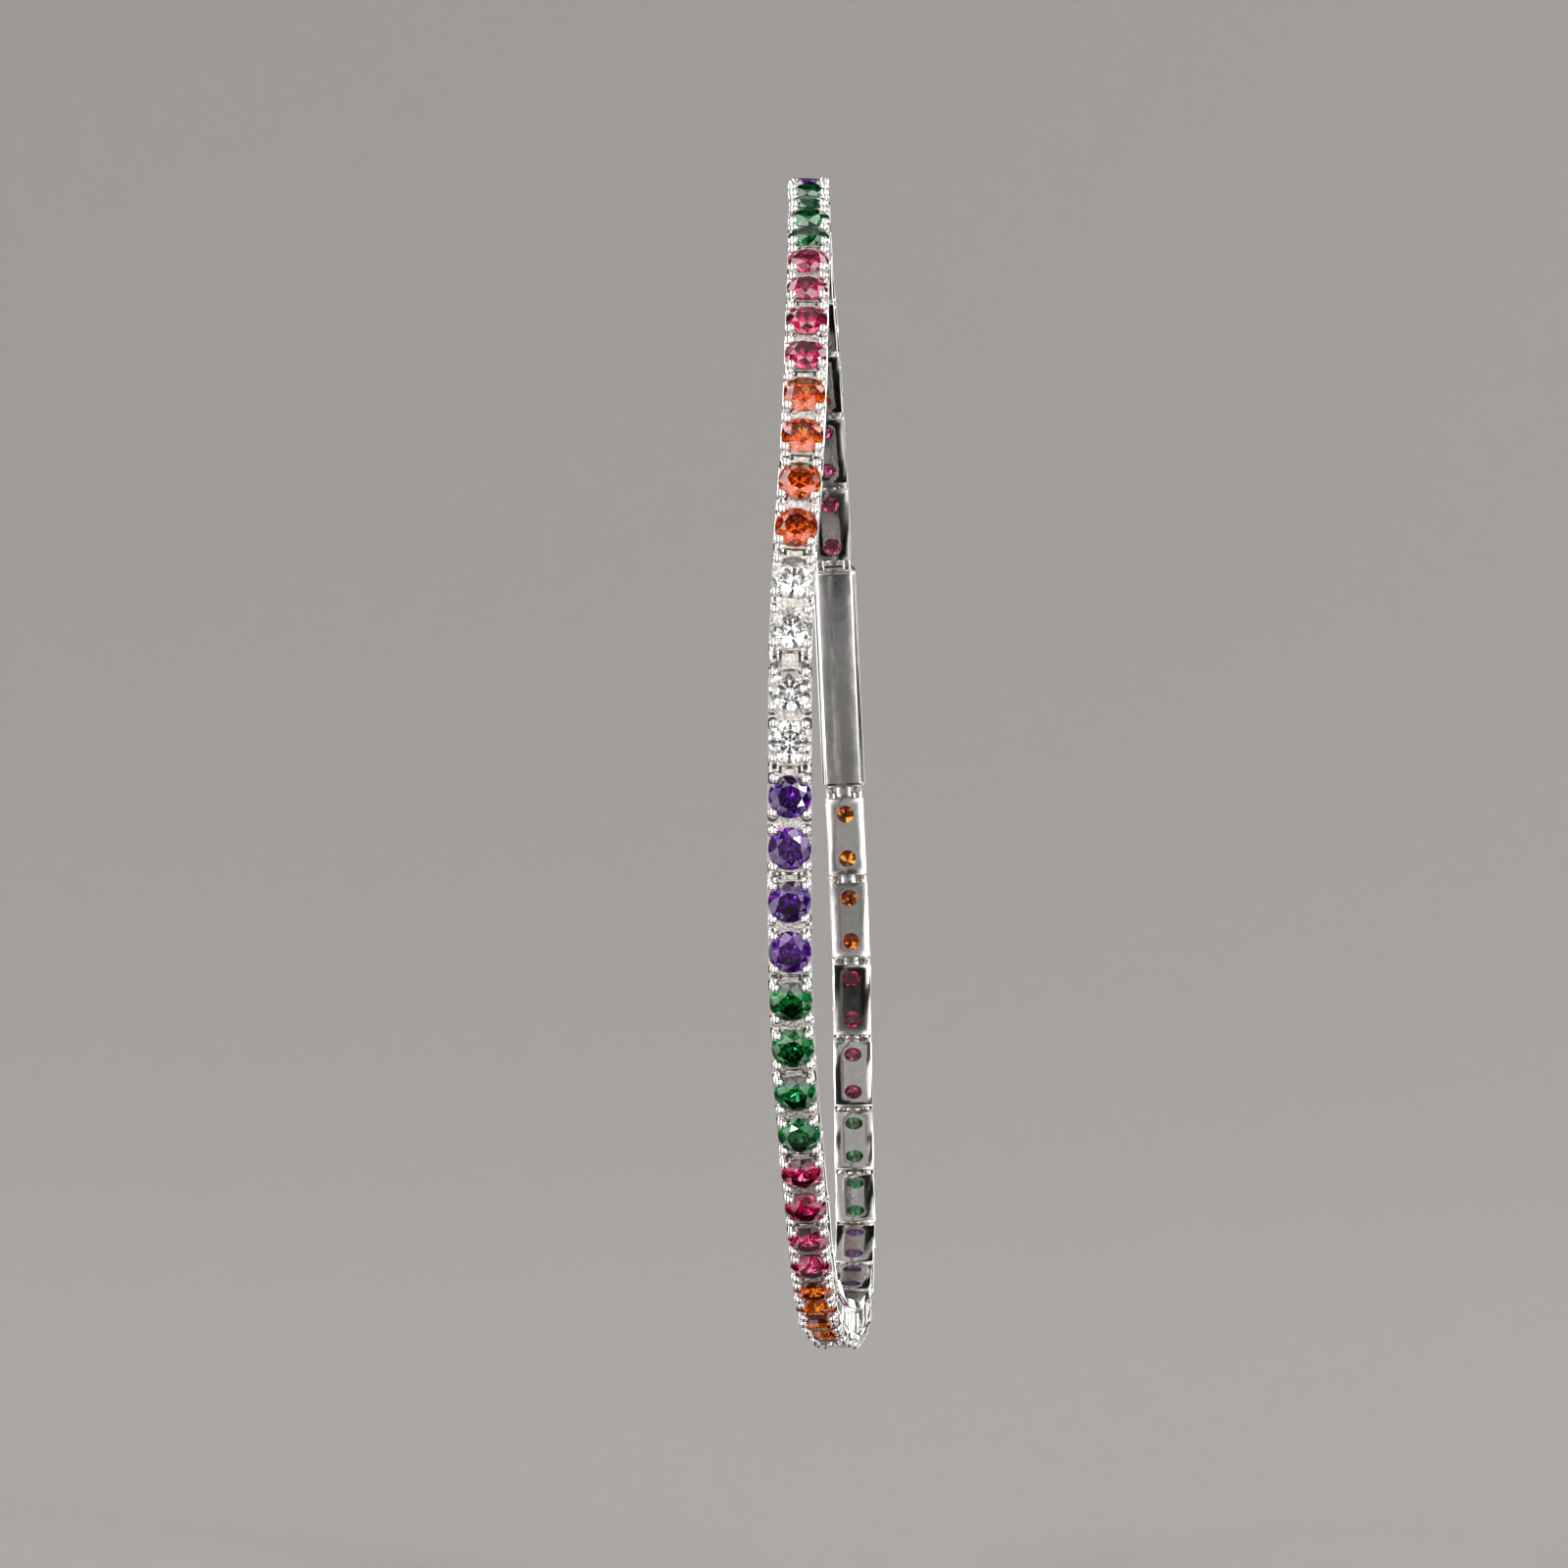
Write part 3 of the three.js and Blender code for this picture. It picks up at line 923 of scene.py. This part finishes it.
# %% Paper
paper, graph, place = new_material("pale paper")
tooth = graph.node("ShaderNodeTexNoise", {}, {"Vector": place, "Scale": 900.0, "Detail": 3.0})
tooth_bumps = graph.node("ShaderNodeBump", {}, {
    "Strength": 0.25, "Distance": 0.0004, "Height": tooth})
surface = graph.node("ShaderNodeBsdfPrincipled", {}, {
    "Base Color": (0.45, 0.437, 0.428, 1), "Roughness": 0.9, "Normal": tooth_bumps})
finish_material(graph, surface)
studio.data.materials.append(paper)
print("floor in", paper.name)

# %% [markdown]
# ## Light
#
# Jewellery needs contrast more than it needs light: stones and beads show their form by what they
# mirror. Small square softboxes all round give the white sparks. All stand 0.9 m from the middle
# of the loop, and each has a direction, a size and a brightness.

# %% Lamps
middle_of_loop = Vector((0, 0, -hollow_radius))
lamp_distance = 0.9
warm, white = (1.0, 0.985, 0.96), (1.0, 1.0, 1.0)
softboxes = {
    "key": ((0.80, -0.50, 0.55), 0.20, 10.0, warm),
    "key edge": ((0.42, -0.85, 0.35), 0.08, 13.0, white),
    "left": ((-0.85, -0.50, 0.30), 0.14, 7.0, white),
    "top left": ((-0.50, -0.30, 0.85), 0.12, 7.0, white),
    "top right": ((0.50, 0.10, 0.85), 0.12, 7.0, white),
    "low left": ((-0.40, -0.80, -0.40), 0.09, 9.0, white),
    "low right": ((0.55, -0.65, -0.50), 0.09, 9.0, white),
    "back right": ((0.75, 0.65, 0.35), 0.18, 8.0, white),
    "back left": ((-0.70, 0.70, 0.30), 0.18, 7.0, white),
}
for name, (direction, size, brightness, colour) in softboxes.items():
    lamp = bpy.data.lights.new(name, "AREA")
    lamp.shape, lamp.size = "SQUARE", size
    lamp.energy = brightness * math.pi * size ** 2
    lamp.color = colour
    holder = bpy.data.objects.new(name, lamp)
    holder.location = middle_of_loop + Vector(direction).normalized() * lamp_distance
    holder.rotation_mode = "QUATERNION"
    holder.rotation_quaternion = Vector(direction).to_track_quat("Z", "Y")
    holder.visible_camera = False
    bpy.context.scene.collection.objects.link(holder)
print(len(softboxes), "softboxes")

# %% [markdown]
# The world behind the lamps is a room of bright panels with dark gaps, which one noise makes. Its
# lift makes it brighter above than below. A fill at the front keeps the clear stones white, with
# a small dim spot in its middle that gives their tables depth. A dark band through the middle
# keeps the tables, which all mirror it, from veiling over. Dimmer walls far left and right let
# the sides of the links keep their form.

# %% Surroundings
world = bpy.data.worlds.new("studio light")
world.use_nodes = True
world.node_tree.nodes.clear()
bpy.context.scene.world = world
graph = Graph(world.node_tree)


def ranged(value, start, end, low, high, kind="SMOOTHSTEP"):
    """Goes from low to high while the value goes from start to end."""
    return graph.node("ShaderNodeMapRange", {"interpolation_type": kind}, {
        "Value": value, "From Min": start, "From Max": end, "To Min": low, "To Max": high})


direction = graph.node("ShaderNodeTexCoord").out("Generated")
parts = graph.node("ShaderNodeSeparateXYZ", {}, {0: direction})
ahead, sideways = parts.out("Y"), parts.out("X") ** 2.0
panels = graph.node("ShaderNodeTexNoise", {}, {"Vector": direction, "Scale": 3.4, "Detail": 1.0})
panel_light = ranged(panels, 0.50, 0.56, 0.05, 2.0)
lift = ranged(parts.out("Z"), -0.8, 0.6, 0.45, 1.15, "LINEAR")
front_fill = ranged(ahead, -0.55, -0.90, 0.0, 1.8, "LINEAR")
front_spot = ranged(ahead, -0.995, -0.965, 0.2, 1.0)
middle_band = ranged(sideways, 0.010, 0.06, 0.15, 1.0)
side_walls = ranged(sideways, 0.75, 0.97, 1.0, 0.5)
brightest = panel_light.math("MAXIMUM", panel_light, front_fill)
light = graph.node("ShaderNodeBackground", {}, {
    "Color": (1.0, 0.99, 0.98, 1),
    "Strength": brightest * lift * front_spot * middle_band * side_walls})
graph.node("ShaderNodeOutputWorld", {}, {"Surface": light})
print("world of", len(world.node_tree.nodes), "nodes")

# %% [markdown]
# Light in a stone bounces many times before it finds its way out, so paths may be long here, and
# the picture keeps plain, strong colours.

# %% Light paths and tone
paths = bpy.context.scene.cycles
paths.max_bounces, paths.glossy_bounces, paths.transmission_bounces = 16, 12, 12
paths.diffuse_bounces = 2
tone = bpy.context.scene.view_settings
tone.view_transform, tone.look = "Standard", "Medium High Contrast"
print("up to", paths.max_bounces, "bounces")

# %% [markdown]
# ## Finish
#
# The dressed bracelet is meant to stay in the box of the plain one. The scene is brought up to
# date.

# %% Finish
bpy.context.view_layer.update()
